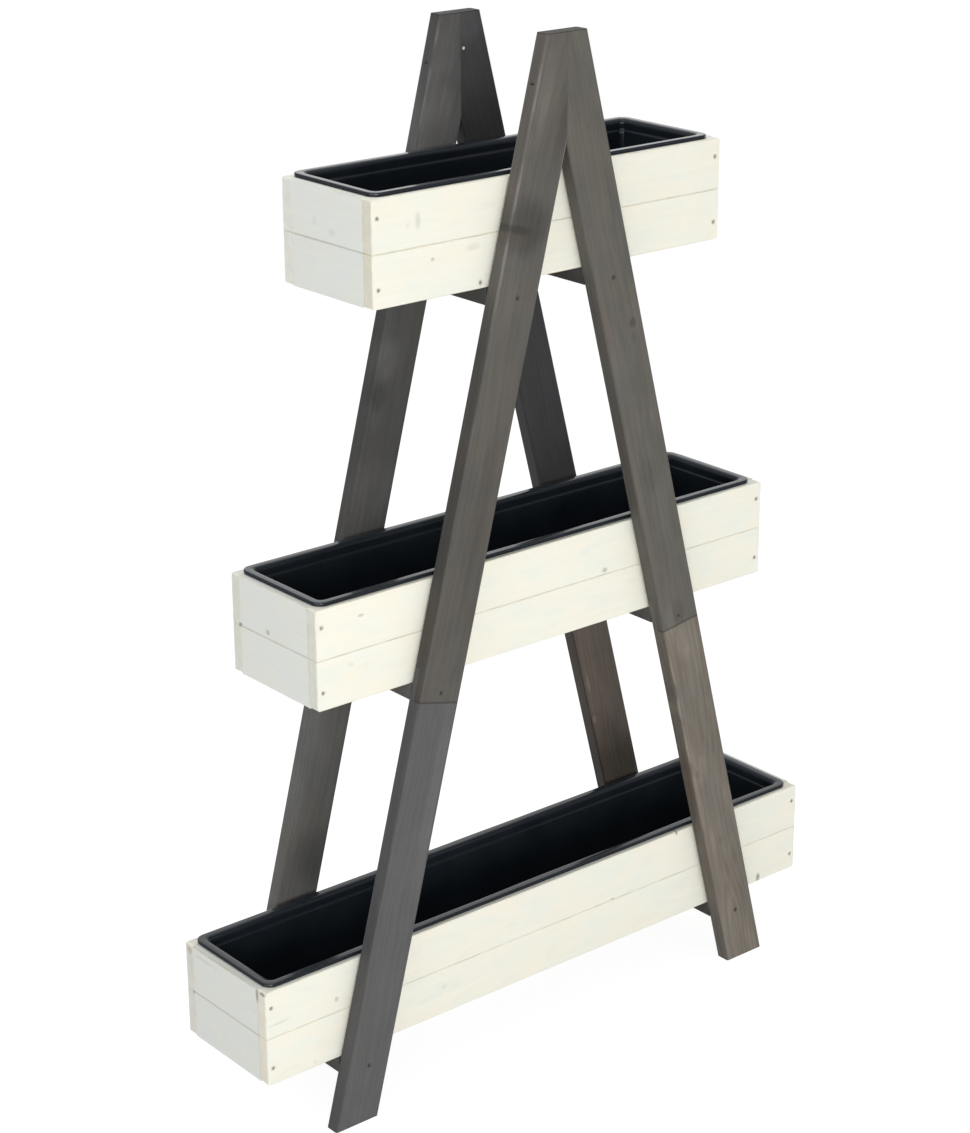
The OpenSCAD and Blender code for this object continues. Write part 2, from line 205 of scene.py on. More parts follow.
class Finish(Graph):
    """One material, with the methods that draw it."""

    def __init__(self, name):
        self.material = bpy.data.materials.new(name)
        super().__init__(self.material)
        self.shader = self.node("ShaderNodeBsdfPrincipled")
        self.out = self.node("ShaderNodeOutputMaterial", {"Surface": self.shader.outputs[0]})

    def set(self, **sockets):
        for name, value in sockets.items():
            self.feed(self.shader.inputs[name.replace("_", " ").title().replace("Ior", "IOR")], value)

    def object_point(self):
        return self.node("ShaderNodeTexCoord").outputs["Object"]

    def moved(self, point, shift=(0, 0, 0), turn=(0, 0, 0), scale=(1, 1, 1)):
        sockets = {"Vector": point, "Location": shift, "Rotation": turn, "Scale": scale}
        return self.node("ShaderNodeMapping", sockets).outputs[0]

    def split(self, point):
        return self.node("ShaderNodeSeparateXYZ", {0: point}).outputs

    def length(self, x, y, z=0.0):
        joined = self.node("ShaderNodeCombineXYZ", {0: x, 1: y, 2: z}).outputs[0]
        return self.node("ShaderNodeVectorMath", {0: joined}, operation="LENGTH").outputs["Value"]

    def noise(self, point, scale, shift=(0, 0, 0), detail=2.0, roughness=0.5):
        """Cloudy noise from 0 to 1, with so many bumps to a metre along each axis."""
        sockets = {"Vector": self.moved(point, shift=shift, scale=scale),
                   "Scale": 1.0, "Detail": detail, "Roughness": roughness}
        return self.node("ShaderNodeTexNoise", sockets).outputs["Fac"]

    def step(self, value, start, end, low=0.0, high=1.0):
        """Goes smoothly from low to high while value goes from start to end."""
        sockets = {"Value": value, "From Min": start, "From Max": end, "To Min": low, "To Max": high}
        return self.node("ShaderNodeMapRange", sockets, interpolation_type="SMOOTHSTEP").outputs[0]

    def mix(self, share, first, second):
        """The first colour where share is 0, and the second where it is 1."""
        sockets = {0: share, 6: first, 7: second}
        return self.node("ShaderNodeMix", sockets, data_type="RGBA", clamp_factor=True).outputs[2]

    def shade(self, colour, factor):
        """The colour made lighter or darker by a grey factor about 1."""
        sockets = {0: colour[:3] if isinstance(colour, tuple) else colour, "Scale": factor}
        return self.node("ShaderNodeVectorMath", sockets, operation="SCALE").outputs[0]

    def bump(self, height, strength, distance):
        sockets = {"Height": height, "Strength": strength, "Distance": distance}
        self.set(normal=self.node("ShaderNodeBump", sockets).outputs[0])


# %% [markdown]
# ## How a piece of wood sees itself
# A board's grain runs along the board, so its finish needs a point in the
# board's own axes: X along the grain, Y across the face and Z through the
# thickness, from the board's middle. A CAD node sits at the origin with its
# place in its mesh, so one Mapping node can move and turn the object's point
# into those axes. It stays true when the object moves in a pose.


# %% Turn a point into a piece's own axes
def grain_point(f, middle, along, across):
    """The point seen from a piece: along the grain, across its face, and through it."""
    rows = Matrix((along, across, Vector(along).cross(Vector(across))))
    return f.moved(f.object_point(), shift=-(rows @ Vector(middle)), turn=rows.to_euler("XYZ"))


def dress(name, material):
    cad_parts[name].material_slots[0].material = material


def node_middle(name):
    low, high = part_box(name)
    return (low + high) / 2, (high - low) / 2


# %% [markdown]
# ## Growth rings and fibres
# Softwood shows two things: growth rings, which are tubes round the tree's
# pith, and fibres, which are fine streaks along the grain. A board cuts through
# the tubes at some distance from the pith, which gives lines on its faces, and
# arches where the pith wanders. So the distance from a wandering line makes the
# rings here, and noise stretched along the grain makes the fibres. One recipe
# gives lines on the faces and arcs on the ends.


# %% Grow the figure of the wood
def figure(f, point, pith, ring, seed, wander=0.03):
    """Two greys for a piece of wood: its late rings, and its fibres."""
    _, y, z = f.split(point)
    bend_y = f.line(f.noise(point, (2.3, 6, 6), (seed, 2, 5)), wander, pith[0] - wander / 2)
    bend_z = f.line(f.noise(point, (1.9, 6, 6), (seed, 7, 1)), wander, pith[1] - wander / 2)
    from_pith = f.length(0.0, f.math("ADD", y, bend_y), f.math("ADD", z, bend_z))
    uneven = f.line(f.noise(point, (1.5, 75, 75), (seed, 0, 3)), 2.6 * ring, from_pith)
    ripple = f.line(f.noise(point, (9, 150, 150), (seed, 4, 8)), 0.5 * ring, uneven)
    turn = f.math("FRACT", f.math("DIVIDE", ripple, ring))
    late = f.times(f.step(turn, 0.15, 0.85), f.step(turn, 0.88, 1.0, 1.0, 0.0))
    fibre = f.noise(point, (14, 620, 620), (seed, 1, 9), detail=3.0, roughness=0.62)
    return late, fibre


def mark(f, point, at, size, seed, ragged=0.7, grain=(60, 110, 110)):
    """A spot such as a knot: 1 in its middle, fading raggedly to 0 outside.

    Two numbers place it on a face, along and across the grain, and a third one
    places it in the thickness too."""
    flat = [0] * (3 - len(at))
    shift, scale = [-a / b for a, b in zip(at, size)] + flat, [1 / b for b in size] + flat
    away = f.line(f.noise(point, grain, (seed, 4, 4), detail=3.0), ragged,
                  f.length(*f.split(f.moved(point, shift=shift, scale=scale))))
    return f.step(away, 0.45 + ragged / 2, 1.35 + ragged / 2, 1.0, 0.0)


# %% [markdown]
# ## The stained laths
# The frames are planed softwood under a thin grey stain. The stain lets the
# wood through, so every lath took it differently: one is blue-grey, one is
# tan with a lively figure, and the rear right one is the darkest. The narrow
# faces are painted darker than the broad ones, partly because they took more
# stain and partly as painted shade where they turn from the light. The cut tops
# took most stain, because end grain drinks. High up, the edges between the faces
# are painted lighter: partly wear, partly a painted highlight on the eased edges.
# A broad patch here and there paints light and shade onto a face, on top of the
# stain's own variation, and pale streaks on some edges are painted highlights.
# A thin dark line shows where two pieces meet at the splice and at the mitre,
# and knots and smudges lie where the photograph has them. Each lath gets its own
# material from one recipe.


# %% Write the recipe for a stained lath
# high up the leg, from the splice: where the narrow faces' painted shade changes and the edges get wear and a
# painted highlight
HIGH_UP_FROM, HIGH_UP_TO = 0.44, 0.62
PALE_WOOD, EDGE_WEAR_AND_HIGHLIGHT_TONE = chip(146, 138, 128), chip(138, 134, 135)
SPLICE_LINE, MITRE_LINE = chip(46, 45, 43), chip(50, 49, 47)


def stained_lath(name, middle, along, across, half_w, half_t, tones, seed, rings=0.10, pale=0.0,
                 narrow=0.8, narrow_high=0.9, rubbed=0.0, slope=0.0, wander=0.035, patches=(),
                 marks=(), splice=None, cut_turn=0.0, mitre=False):
    """The stain of one lath, whose point is measured from middle in its own axes.

    Narrow darkens its narrow faces, as stain and painted shade, and narrow_high does so high up.
    Splice is 1 or -1: on that side of the lath the cut of its half-lap shows at
    0, and on the other side it shows a lap higher."""
    f = Finish(name)
    point = grain_point(f, middle, along, across)
    x, y, z = f.split(point)
    ay, az = f.math("ABSOLUTE", y), f.math("ABSOLUTE", z)
    late, fibre = figure(f, point, (0.012 + 0.02 * (seed % 3), 0.045), LATH_RING, seed, wander)
    # the colour: cloudy stain, a few streaks, and wood showing through
    cloud = f.noise(point, (14, 34, 34), (seed, 3, 0), detail=4.0, roughness=0.6)
    streak = f.noise(point, (5, 100, 100), (seed, 8, 2), detail=3.0, roughness=0.65)
    dark, light, tan = (chip(*c) for c in tones)
    share = f.math("ADD", f.times(f.step(streak, 0.32, 0.68), 0.35), f.times(f.step(cloud, 0.3, 0.7), 0.65))
    colour = f.mix(share, dark, light)
    bare = f.step(f.noise(point, (7, 34, 34), (seed, 6, 6), detail=3.0), 0.42, 0.72)
    colour = f.mix(f.times(bare, 0.7), colour, tan)
    if pale:
        wavy = f.noise(point, (8, 60, 60), (seed, 2, 8), detail=3.0)
        colour = f.mix(f.times(f.step(wavy, 0.48, 0.7), pale), colour, PALE_WOOD)
    colour = f.shade(colour, f.line(late, -rings, 1.0 + rings / 3))
    colour = f.shade(colour, f.line(fibre, 0.22, 0.89))
    # painted light and shade on the broad face, on top of the stain's own variation: a slope across it, and a broad
    # patch here and there
    colour = f.shade(colour, f.line(y, slope / half_w, 1.0))
    for i, (at, size, factor) in enumerate(patches):
        spot = mark(f, point, at, size, seed + 9 + i, ragged=0.9, grain=(16, 36, 36))
        colour = f.shade(colour, f.line(spot, factor - 1, 1.0))
    # the narrow faces are painted darker, with stain and painted shade;
    # high up, the eased edges are painted lighter, with wear and a painted highlight
    high = f.step(x, HIGH_UP_FROM, HIGH_UP_TO)
    on_side = f.step(ay, half_w - 2.6 * MM, half_w - 0.9 * MM)
    darker = f.line(high, narrow_high - narrow, narrow - 1)
    colour = f.shade(colour, f.line(on_side, darker, 1.0))
    # high up, the eased edges are painted lighter: wear, and a painted highlight
    if rubbed:
        on_edge = f.times(f.step(ay, half_w - 3.4 * MM, half_w - 2.0 * MM),
                          f.step(az, half_t - 3.4 * MM, half_t - 2.0 * MM))
        missed = f.step(f.noise(point, (18, 60, 60), (seed, 5, 5), detail=3.0), 0.36, 0.62, 0.15, 1.0)
        colour = f.mix(f.times(on_edge, missed, high, rubbed), colour, EDGE_WEAR_AND_HIGHLIGHT_TONE)
    for i, (at, size, depth, tint) in enumerate(marks):
        spot = f.times(mark(f, point, at, size, seed + i), depth)
        colour = f.mix(spot, colour, chip(*tint))
    if splice is not None:
        # thin dark lines where the two halves of the leg meet
        straight = f.times(x, math.cos(cut_turn))
        off_cut = f.math("ABSOLUTE", f.line(y, math.sin(cut_turn), straight))
        off_lap = f.math("ABSOLUTE", f.math("SUBTRACT", x, LAP))
        outer = f.step(f.times(z, splice), -0.3 * MM, 0.3 * MM)
        in_lap = f.step(f.math("ABSOLUTE", f.math("SUBTRACT", x, LAP / 2)), LAP / 2, LAP / 2 + MM, 1.0, 0.0)
        cuts = f.most(
            f.times(f.step(off_cut, 0.6 * MM, 2.2 * MM, 1.0, 0.0), outer),
            f.times(f.step(off_lap, 0.4 * MM, 1.4 * MM, 1.0, 0.0), f.math("SUBTRACT", 1.0, outer), 0.6),
            f.times(f.step(az, 0.3 * MM, 0.9 * MM, 1.0, 0.0), in_lap, 0.5))
        colour = f.mix(f.times(cuts, 0.6), colour, SPLICE_LINE)
    if mitre:
        row_x, _, row_z = f.split(f.object_point())
        broken = f.step(f.noise(point, (20, 20, 20), (seed, 9, 2)), 0.4, 0.65, 0.0, 0.28)
        line = f.step(f.math("ABSOLUTE", row_x), 0.3 * MM, 2.2 * MM, 1.0, 0.0)
        colour = f.mix(f.times(line, broken), colour, MITRE_LINE)
        cut_top = f.step(row_z, STAND_H - 1.6 * MM, STAND_H - 0.5 * MM)
        colour = f.shade(colour, f.line(cut_top, -0.63, 1.0))
    f.set(base_color=colour, roughness=f.line(fibre, 0.2, 0.5), specular_ior_level=0.22)
    f.bump(f.math("ADD", f.times(fibre, 0.7), f.times(late, 0.3)), 0.25, 0.4 * MM)
    return f.material


# %% [markdown]
# The eight leg pieces come in pairs that share a splice. Their axes lean with
# the leg, and they are measured from the splice, so one set of numbers places
# the cut lines on both pieces.


# %% Find a place on a leg
def leg_axes(face, side):
    sign = SIDES[side]
    along = Vector((-sign * math.sin(LEAN), 0, math.cos(LEAN)))
    across = Vector((sign * math.cos(LEAN), 0, math.sin(LEAN)))
    middle = Vector((sign * leg_x(SPLICE_Z), FACES[face] * LEG_MID_Y, SPLICE_Z))
    return middle, along, across


def on_leg(face, side, x_mm, z_mm):
    """Where a mark seen at this x and height lies: along the leg, and across it."""
    middle, along, across = leg_axes(face, side)
    away = Vector((x_mm * MM, middle.y, z_mm * MM)) - middle
    return away.dot(along), away.dot(across)


# %% [markdown]
# The tones are in sRGB, and were set by comparing renders with the photograph:
# the darker and the lighter stain, and the tan of the wood under it. A patch has
# a place, a half size along and across the leg, and a factor, and it paints light
# and shade onto the leg, on top of the stain's own variation. The slope is painted
# shade across the broad face. A mark has a strength and a tone instead. Places and
# sizes are in millimetres, and a place is an x and a height.

# %% Write down the look of each leg piece
BLACK_KNOT, BROWN_SMEAR, GREY_SMEAR = (50, 47, 45), (92, 80, 68), (70, 70, 71)
# the pale streaks along the left edges of the right legs are painted highlights
PAINTED_EDGE_HIGHLIGHT, DARK_BITE = (150, 141, 128), (86, 82, 76)
LEG_LOOKS = {
    "front_left_upper": dict(
        tones=((88, 86, 83), (100, 97, 92), (98, 91, 84)), narrow=0.60, narrow_high=1.0, rubbed=0.6,
        slope=0.06,
        patches=[((-36, 1385), (55, 12), 1.25), ((-66, 1212), (40, 40), 0.62),
                 ((-12, 1322), (50, 11), 0.80), ((-202, 740), (200, 80), 0.87),
                 ((-138, 870), (140, 12), 0.88)],
        marks=[((-84, 1210), (6, 26), 0.55, BLACK_KNOT), ((-90, 1197), (9, 22), 0.35, BROWN_SMEAR),
               ((-259, 644), (2.2, 3), 0.9, BLACK_KNOT)]),
    "front_left_lower": dict(
        tones=((89, 89, 90), (97, 97, 98), (93, 92, 92)), narrow=0.76,
        patches=[((-230, 470), (140, 11), 1.18)]),
    "front_right_upper": dict(
        tones=((90, 88, 84), (104, 101, 95), (104, 97, 90)), narrow=0.80, narrow_high=0.86, slope=-0.03,
        patches=[((150, 830), (30, 14), 0.88), ((200, 602), (20, 10), 1.2)],
        marks=[((119, 1052), (8, 6), 0.5, BLACK_KNOT), ((122, 1031), (10, 5), 0.25, BLACK_KNOT),
               ((217, 608), (24, 12), 0.4, GREY_SMEAR)]),
    "front_right_lower": dict(
        tones=((109, 103, 95), (126, 120, 112), (123, 112, 101)), rings=0.17, pale=0.4, narrow=0.61,
        slope=-0.12, wander=0.07,
        patches=[((262, 350), (30, 16), 1.1), ((229, 560), (30, 14), 1.25)],
        marks=[((264, 337), (9, 5), 0.4, BROWN_SMEAR), ((316, 214), (8, 5), 0.3, BROWN_SMEAR),
               ((207, 520), (22, 1.8), 0.5, PAINTED_EDGE_HIGHLIGHT), ((224, 452), (18, 2), 0.5, PAINTED_EDGE_HIGHLIGHT),
               ((241, 388), (20, 2), 0.5, PAINTED_EDGE_HIGHLIGHT), ((216, 484), (14, 3.5), 0.5, DARK_BITE),
               ((251, 350), (16, 3.5), 0.5, DARK_BITE)]),
    "rear_left_upper": dict(
        tones=((77, 77, 77), (90, 90, 89), (88, 85, 82)), narrow=0.54, narrow_high=0.51, rubbed=0.55,
        slope=0.15,
        patches=[((-44, 1325), (120, 60), 1.62), ((-42, 1302), (50, 50), 1.42),
                 ((-172, 800), (60, 50), 1.3), ((-134, 1003), (30, 22), 1.35),
                 ((-148, 950), (20, 15), 0.75)]),
    "rear_left_lower": dict(
        tones=((89, 89, 88), (102, 102, 100), (98, 94, 90)), narrow=0.82, narrow_high=0.82, slope=0.30,
        patches=[((-275, 300), (40, 50), 0.77)]),
    "rear_right_upper": dict(
        tones=((60, 60, 63), (69, 69, 72), (67, 65, 66)), narrow=0.64, narrow_high=0.80, slope=-0.17,
        patches=[((34, 1300), (60, 60), 0.70), ((6, 1440), (30, 50), 1.5)]),
    "rear_right_lower": dict(
        tones=((93, 86, 79), (107, 99, 91), (108, 96, 86)), rings=0.17, narrow=0.38, slope=-0.23,
        wander=0.06,
        patches=[((300, 262), (70, 60), 0.48), ((262, 345), (30, 40), 0.85)],
        marks=[((240, 420), (16, 2.8), 0.4, PAINTED_EDGE_HIGHLIGHT), ((253, 357), (8, 4), 0.4, PAINTED_EDGE_HIGHLIGHT)]),
}
SPLICE_TURN = {("front", "right"): math.radians(6)}

# %% Stain the legs
for i, (piece, look) in enumerate(LEG_LOOKS.items()):
    face, side, half_name = piece.split("_")
    middle, along, across = leg_axes(face, side)
    spots = {kind: [(on_leg(face, side, *at), [a * MM for a in size], *rest)
                    for at, size, *rest in look.get(kind, ())] for kind in ("patches", "marks")}
    dress(piece + "_leg", stained_lath(
        "stain_" + piece, middle, along, across, LEG_W / 2, LEG_T / 2, seed=3.7 * i + 1,
        splice=FACES[face] * SIDES[side], cut_turn=SPLICE_TURN.get((face, side), 0.0),
        mitre=half_name == "upper", **(look | spots)))
print("leg pieces stained:", len(LEG_LOOKS))

# %% [markdown]
# The bearers are laths too, laid flat between the frames, and they sit in the
# shade of the boxes. Their grain runs from front to back. Their tones are darker
# than the legs', as painted shade, and one patch that is wider than the bearer
# paints each whole bearer lighter or darker, as painted light and shade.

# %% Stain the bearers
# painted shade: the bearers' tones are darker than the legs', and each bearer's factor paints it lighter or darker
BEARER_TONES = ((67, 67, 65), (83, 83, 80), (79, 75, 70))
BEARER_PAINTED_SHADE = {"top_left": 0.85, "top_right": 1.15, "middle_left": 1.9, "middle_right": 1.4}
for i, name in enumerate(sorted(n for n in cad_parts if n.endswith("_bearer"))):
    middle, half = node_middle(name)
    dress(name, stained_lath(
        "stain_" + name, middle, (0, 1, 0), (1, 0, 0), half.x, half.z, BEARER_TONES, seed=30 + 2.3 * i,
        patches=[((0.0, 0.0), (0.4, 0.1), BEARER_PAINTED_SHADE.get(name.replace("_bearer", ""), 1.0))]))
print("bearers stained:", i + 1)

# %% [markdown]
# ## The white boards
# The boxes are softwood boards under one coat of cream white paint. Through the
# paint the grain shows as a faint shade, knots show as grey ghosts, and thin
# paint on the eased edges looks warmer. The ends of the long boards are end
# grain, which drinks paint, so they are duller and show faint arcs and blotches.
# Round each nail the paint chipped and the rust bled a little.
# Every board gets its own material from one recipe, so that no two look alike.


# %% Write the recipe for a painted board
WARM_PAINT, COOL_PAINT, BLUE_PAINT = chip(252, 248, 234), chip(245, 247, 238), chip(243, 246, 244)
WARM_EDGE, SEAM_GREY, NAIL_HALO = chip(228, 223, 206), chip(176, 177, 169), chip(194, 193, 178)


def painted_board(name, middle, along, half, seed, marks=(), nails=(), end_tone=None, tint=1.0,
                  paints=(WARM_PAINT, COOL_PAINT), seam=None, seam_depth=0.0):
    """The paint of one board. Seam is 1 or -1: the edge, upper or lower, that butts on a board."""
    f = Finish(name)
    point = grain_point(f, middle, along, (0, 0, 1))
    x, y, z = f.split(point)
    late, fibre = figure(f, point, (0.02 * (seed % 4) - 0.02, 0.05), BOARD_RING, seed)
    cloud = f.noise(point, (16, 30, 30), (seed, 2, 2), detail=3.0)
    brushed = f.noise(point, (5, 160, 160), (seed, 9, 9))
    # brushed paint of two near tones, with the wood's figure showing faintly
    colour = f.mix(f.times(f.step(cloud, 0.3, 0.7), 0.8), *paints)
    colour = f.shade(colour, f.line(late, -0.012, 1.005 * tint))
    colour = f.shade(colour, f.line(fibre, 0.03, 0.985))
    colour = f.shade(colour, f.line(brushed, 0.03, 0.985))
    mottle = f.noise(point, (26, 60, 60), (seed, 6, 4), detail=3.0)
    colour = f.shade(colour, f.step(mottle, 0.55, 0.8, 1.0, 0.965))
    ax, ay, az = (f.math("ABSOLUTE", v) for v in (x, y, z))
    near = [f.step(v, h - 1.9 * MM, h - 0.6 * MM) for v, h in zip((ax, ay, az), half)]
    arris = f.most(f.times(near[1], near[2]), f.times(near[0], near[1]), f.times(near[0], near[2]))
    thin = f.step(f.noise(point, (30, 90, 90), (seed, 3, 7), detail=3.0), 0.35, 0.65, 0.2, 0.8)
    colour = f.mix(f.times(arris, thin), colour, WARM_EDGE)
    if seam is not None:
        # the butted edges of the end boards are painted grey along the seam
        butted = f.step(f.times(y, seam), half[1] - 2.4 * MM, half[1] - 0.5 * MM)
        colour = f.mix(f.times(butted, seam_depth), colour, SEAM_GREY)
    if end_tone:
        at_end = f.step(ax, half[0] - 1.2 * MM, half[0] - 0.6 * MM)
        grain = f.line(late, -0.035, 1.01)
        blotch = f.step(f.noise(point, (60, 60, 60), (seed, 1, 3), detail=3.0), 0.35, 0.7, 0.95, 1.03)
        colour = f.mix(f.times(at_end, 0.8), colour, f.shade(end_tone, f.times(grain, blotch)))
    for i, (at, size, depth, tone) in enumerate(marks):
        spot = f.times(mark(f, point, [a * MM for a in at], [a * MM for a in size], seed + i), depth)
        colour = f.mix(spot, colour, chip(*tone))
    for nail_x, nail_y in nails:
        away = f.length(f.math("SUBTRACT", x, nail_x), f.math("SUBTRACT", y, nail_y))
        ragged = f.line(f.noise(point, (260, 260, 260), (seed, 5, 1)), 3.0 * MM, away)
        on_face = f.step(az, half[2] - 2 * MM, half[2] - MM)
        colour = f.mix(f.times(f.step(ragged, 3.2 * MM, 6.4 * MM, 0.75, 0.0), on_face), colour, NAIL_HALO)
    f.set(base_color=colour, roughness=f.line(cloud, 0.18, 0.42), specular_ior_level=0.35)
    f.bump(f.math("ADD", f.times(fibre, 0.6), f.times(late, 0.4)), 0.22, 0.4 * MM)
    return f.material


# %% [markdown]
# The knots of the real boards are listed by board, in millimetres: how far along
# and how far up from the board's middle, their half sizes, how strong they are,
# and their tone. A third number places a mark in the board's thickness, and the
# marks on ends and edges have one. The boards of the boxes' ends look a little
# cooler, and towards the floor they are painted a little darker, as painted shade.

# %% Paint the boards
GHOST, BLUE_GHOST, PALE_GHOST = (214, 214, 202), (216, 222, 222), (206, 208, 200)
DARK_DOT, EDGE_BITE, CORNER_BITE = (128, 122, 108), (120, 117, 107), (152, 150, 140)
BOARD_MARKS = {
    "top_front_upper": [((-227, -2), (4.5, 12), 0.45, GHOST), ((-226, -1), (3.2, 9), 0.2, (206, 205, 194)),
                        ((-243, -6), (3, 3), 0.35, GHOST)],
    "top_front_lower": [((-204, 16), (3, 2.6), 0.6, (176, 174, 164)), ((-138, 22), (12, 5), 0.35, GHOST),
                        ((-126, -27), (3, 4), 0.4, DARK_DOT)],
    "middle_front_upper": [((-330, 12), (5, 2.2), 0.6, (186, 176, 158)),
                           ((96, -29), (5, 4), 0.6, (178, 170, 152)), ((60, 8), (9, 6), 0.15, BLUE_GHOST)],
    "middle_front_lower": [((-348, 18), (5, 2.4), 0.4, GHOST)],
    "bottom_front_upper": [((-386, -15), (3.4, 4), 0.6, (190, 188, 176)),
                           ((-482, -16), (19, 1.5), 0.45, (208, 204, 188)),
                           ((247, 33), (2.6, 3), 0.8, DARK_DOT), ((119, -34), (4, 2), 0.6, (170, 160, 138)),
                           ((-502, 31.5, 2.5), (5, 2.2, 6.5), 0.75, (128, 120, 106)),
                           ((-502, 25, -8.6), (5, 12, 1.8), 0.7, EDGE_BITE)],
    "bottom_front_lower": [((424, -29), (4, 8), 0.7, (150, 144, 130)), ((-200, 6), (6, 4), 0.3, GHOST)],
    "top_left_upper": [((-11, -20), (7, 5), 0.25, PALE_GHOST), ((25, -11), (4, 7), 0.2, PALE_GHOST)],
    "middle_left_upper": [((13, -26.5), (4.2, 3.6), 0.7, (174, 173, 165)),
                          ((75, -34, -9), (3.2, 3.4, 3), 0.75, CORNER_BITE)],
    "middle_rear_upper": [((-402, -34, 8), (3, 3, 3), 0.75, CORNER_BITE)],
    "middle_rear_lower": [((-402, 34.5, 8), (3, 2, 3), 0.75, CORNER_BITE)],
    "bottom_rear_lower": [((-502, 34, 7), (3, 2.5, 3), 0.7, (150, 146, 134))],
    "bottom_left_upper": [((-75, 25, -8.5), (2.2, 11, 3), 0.65, EDGE_BITE),
                          ((50, 24), (26, 2.2), 0.3, (190, 184, 168)),
                          ((0, 34.5, -8.5), (95, 2.4, 2.4), 0.6, (196, 192, 176))],
    "bottom_rear_upper": [((-502, 26, 1), (3, 6, 6), 0.6, (186, 174, 150))],
}
END_GRAIN = {"top_front": chip(236, 231, 213), "top_rear": chip(243, 243, 235),
             "middle_front": chip(231, 231, 220), "middle_rear": chip(231, 231, 220),
             "bottom_front": chip(239, 235, 220), "bottom_rear": chip(225, 225, 218)}
# the end boards are painted darker towards the floor, as painted shade
END_PAINTED_SHADE = {"top": 0.995, "middle": 0.965, "bottom": 0.925}
SEAM_DEPTH = {"top": 0.15, "middle": 0.15, "bottom": 0.3}


def nail_spots(tier, row, middle, half):
    """Where the nails of a long board are, from the board's middle."""
    box_low, box_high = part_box(f"{tier}_front_lower_board")[0].z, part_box(f"{tier}_front_upper_board")[1].z
    up = box_low + CORNER_NAIL_UP if row == "lower" else box_high - CORNER_NAIL_UP
    spots = [(side * (half.x - BOARD_T / 2), up - middle.z) for side in SIDES.values()]
    if row == "lower":
        spots.append((node_middle(f"{tier}_right_slat")[0].x, box_low + SLAT_NAIL_UP - middle.z))
    return spots


boards = sorted(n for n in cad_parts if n.endswith("_board"))
for i, name in enumerate(boards):
    middle, half = node_middle(name)
    tier, face, row = name.split("_")[:3]
    if face in FACES:
        along, sizes, tint = (1, 0, 0), (half.x, half.z, half.y), 1.0
        look = dict(nails=nail_spots(tier, row, middle, half), end_tone=END_GRAIN[f"{tier}_{face}"])
    else:
        along, sizes, tint = (0, 1, 0), (half.y, half.z, half.x), END_PAINTED_SHADE[tier]
        look = dict(paints=(COOL_PAINT, BLUE_PAINT), seam=1 if row == "lower" else -1,
                    seam_depth=SEAM_DEPTH[tier])
    dress(name, painted_board(
        "paint_" + name, middle, along, sizes, seed=1.9 * i + 2,
        marks=BOARD_MARKS.get(f"{tier}_{face}_{row}", ()), tint=tint + 0.006 * math.sin(5.1 * i), **look))
for i, name in enumerate(sorted(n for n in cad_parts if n.endswith("_slat"))):
    middle, half = node_middle(name)
    dress(name, painted_board(
        "paint_" + name, middle, (0, 1, 0), (half.y, half.z, half.x), seed=70 + 2.1 * i))
print("boards painted:", len(boards), "slats painted:", i + 1)

# %% [markdown]
# ## The plastic liners
# A liner is one sheet of black plastic drawn into a long tub. It has a rolled
# rim with a bead round its outer edge, a straight collar, a narrow ledge, and a
# body that tapers to a rounded floor. Its sheet is thin and its sides are long,
# so the rim waves a little and the sides bow inwards.
# A good way to model it is a loft: one outline of points, repeated at every
# height of the section, with quads between. A Subdivision Surface then rounds
# the section, so each of its bends needs only a few rings. The two sides of the
# floor are closed with a grid of quads. One wide face would be less work,
# but rounding pulls its corners into thin folds, which show as dark streaks.


# %% Draw the outline of a liner
CORNER_STEPS, LONG_STEPS, SHORT_STEPS = 7, 28, 7


def soft_rectangle(half_x, half_y, radius):
    """Points round a rectangle with round corners, with as many on every ring."""
    middles = [Vector((x * (half_x - radius), y * (half_y - radius)))
               for x, y in ((1, 1), (-1, 1), (-1, -1), (1, -1))]

    def on_corner(i, degrees):
        a = math.radians(degrees)
        return middles[i % 4] + radius * Vector((math.cos(a), math.sin(a)))

    points = []
    for i in range(4):
        points += [on_corner(i, 90 * i + 90 * k / CORNER_STEPS) for k in range(CORNER_STEPS + 1)]
        last, target = points[-1], on_corner(i + 1, 90 * i + 90)
        steps = SHORT_STEPS if i % 2 else LONG_STEPS
        points += [last.lerp(target, k / steps) for k in range(1, steps)]
    return points


# %% [markdown]
# The section is a list of rings: how far in from the rim's edge, how high above
# the boards, and the corner's radius. They repeat the CAD section with more
# rings on the bead and the edges, because those catch the light.

